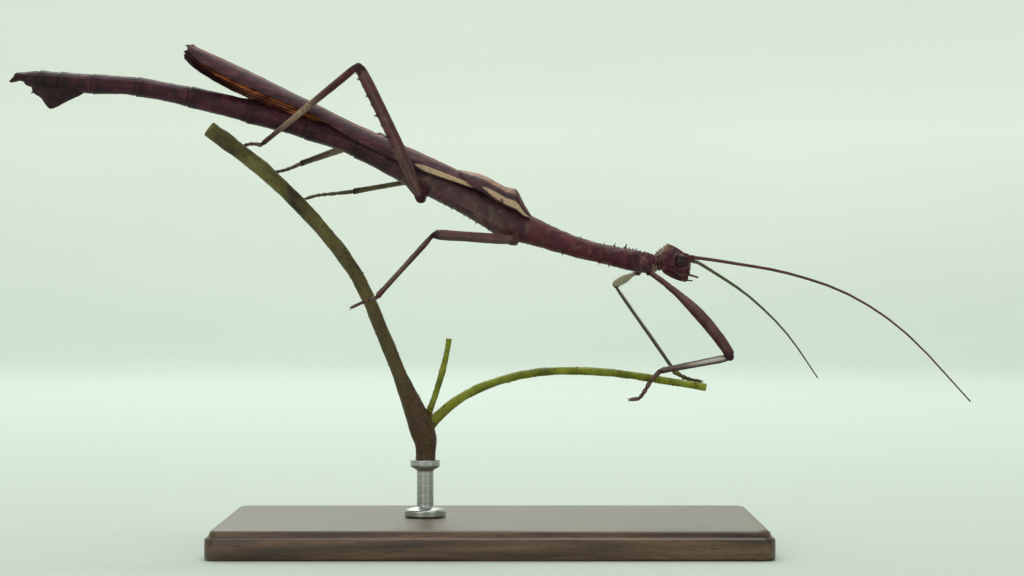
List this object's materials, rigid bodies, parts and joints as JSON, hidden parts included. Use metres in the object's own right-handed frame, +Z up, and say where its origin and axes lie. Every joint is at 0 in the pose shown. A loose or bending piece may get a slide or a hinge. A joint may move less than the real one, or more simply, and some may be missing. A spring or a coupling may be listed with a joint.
{
  "type": "stick insect on a twig",
  "caption": "Life-size winged stick insect with long feelers, clinging to a forked bare twig held by a rod on a flat wooden base; a still display model.",
  "frame": {"origin": "middle of the display base's underside, on the surface that it stands on", "axes": "+Z up, +X towards the insect's head along its length, its right side towards -Y"},
  "size_m": [0.149, 0.0711, 0.0778],
  "materials": {
    "cuticle": "satin dark red-brown skin with fine grain, paler at joints",
    "wing_brown": "leathery brown with raised veins and a cream stripe near the base",
    "wing_fan": "thin pleated membrane, warm orange red, slightly see-through at its folds",
    "eye": "glossy dark bead with fine facets",
    "bark": "smooth young bark, olive green turning brown, fine ridges and pores",
    "base_wood": "oiled dark walnut, satin",
    "rod_steel": "brushed"
  },
  "bodies": {
    "root": {"abdomen_10": "cuticle", "abdomen_2": "cuticle", "abdomen_3": "cuticle", "abdomen_4": "cuticle", "abdomen_5": "cuticle", "abdomen_6": "cuticle", "abdomen_7": "cuticle", "abdomen_8": "cuticle", "abdomen_9": "cuticle", "antenna_left": "cuticle", "antenna_right": "cuticle", "cercus_left": "cuticle", "cercus_right": "cuticle", "coxa_front_left": "cuticle", "coxa_front_right": "cuticle", "coxa_hind_left": "cuticle", "coxa_hind_right": "cuticle", "coxa_middle_left": "cuticle", "coxa_middle_right": "cuticle", "eye_left": "eye", "eye_right": "eye", "femur_front_left": "cuticle", "femur_front_right": "cuticle", "femur_hind_left": "cuticle", "femur_hind_right": "cuticle", "femur_middle_left": "cuticle", "femur_middle_right": "cuticle", "head": "cuticle", "hindwing_left": "wing_brown", "hindwing_right": "wing_brown", "mesothorax": "cuticle", "metathorax": "cuticle", "mouthparts": "cuticle", "palp_left": "cuticle", "palp_right": "cuticle", "perch_spur": "bark", "perch_stem": "bark", "perch_twig": "bark", "poculum": "cuticle", "prothorax": "cuticle", "stand_base": "base_wood", "stand_rod": "rod_steel", "tarsus_front_left": "cuticle", "tarsus_front_right": "cuticle", "tarsus_hind_left": "cuticle", "tarsus_hind_right": "cuticle", "tarsus_middle_left": "cuticle", "tarsus_middle_right": "cuticle", "tegmen_left": "wing_brown", "tegmen_right": "wing_brown", "tibia_front_left": "cuticle", "tibia_front_right": "cuticle", "tibia_hind_left": "cuticle", "tibia_hind_right": "cuticle", "tibia_middle_left": "cuticle", "tibia_middle_right": "cuticle", "wing_fan_left": "wing_fan", "wing_fan_right": "wing_fan"}
  },
  "joints": []
}
